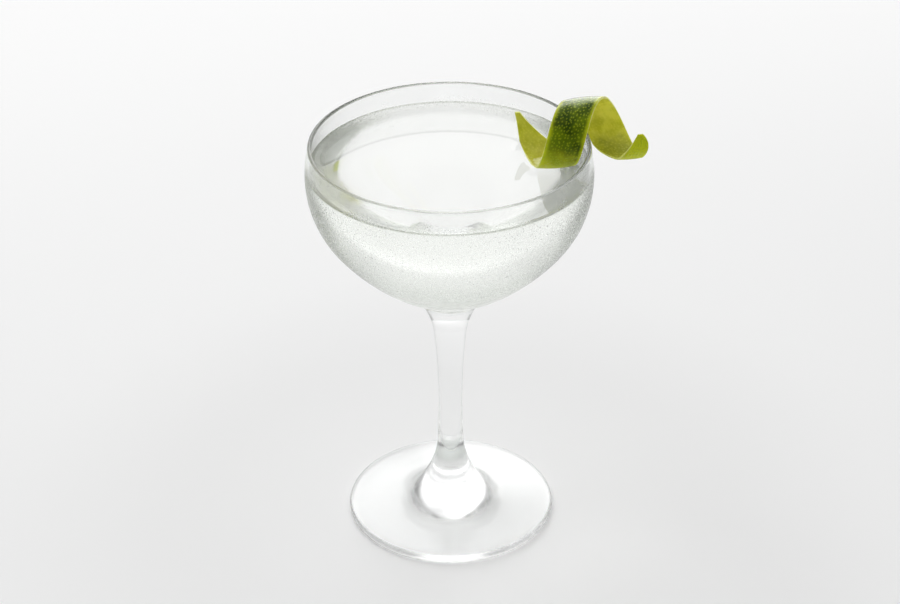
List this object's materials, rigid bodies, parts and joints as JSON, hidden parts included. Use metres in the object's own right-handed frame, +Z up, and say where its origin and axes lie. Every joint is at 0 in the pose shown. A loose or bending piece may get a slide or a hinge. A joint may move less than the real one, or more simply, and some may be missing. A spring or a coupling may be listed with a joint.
{
  "type": "daiquiri in a coupe glass",
  "caption": "Clear chilled cocktail in a stemmed coupe glass, with a long curled strip of lime peel hooked over the rim.",
  "frame": {"origin": "on the glass's axis, in the plane its foot stands on", "axes": "+Z up along the glass's axis; +X towards the side of the rim that the twist hangs on; +Y completes the right-handed frame, away from the viewer of the twist's zest"},
  "size_m": [0.1146, 0.0974, 0.162],
  "materials": {
    "clear_glass": "polished, with fine condensation round the bowl",
    "cocktail": "clear and still, very slightly cloudy",
    "lime_peel": "waxy green zest with fine pale pores outside, smooth yellow-green inside"
  },
  "bodies": {
    "root": {"glass": "clear_glass", "drink": "cocktail", "lime_twist": "lime_peel"}
  },
  "joints": []
}
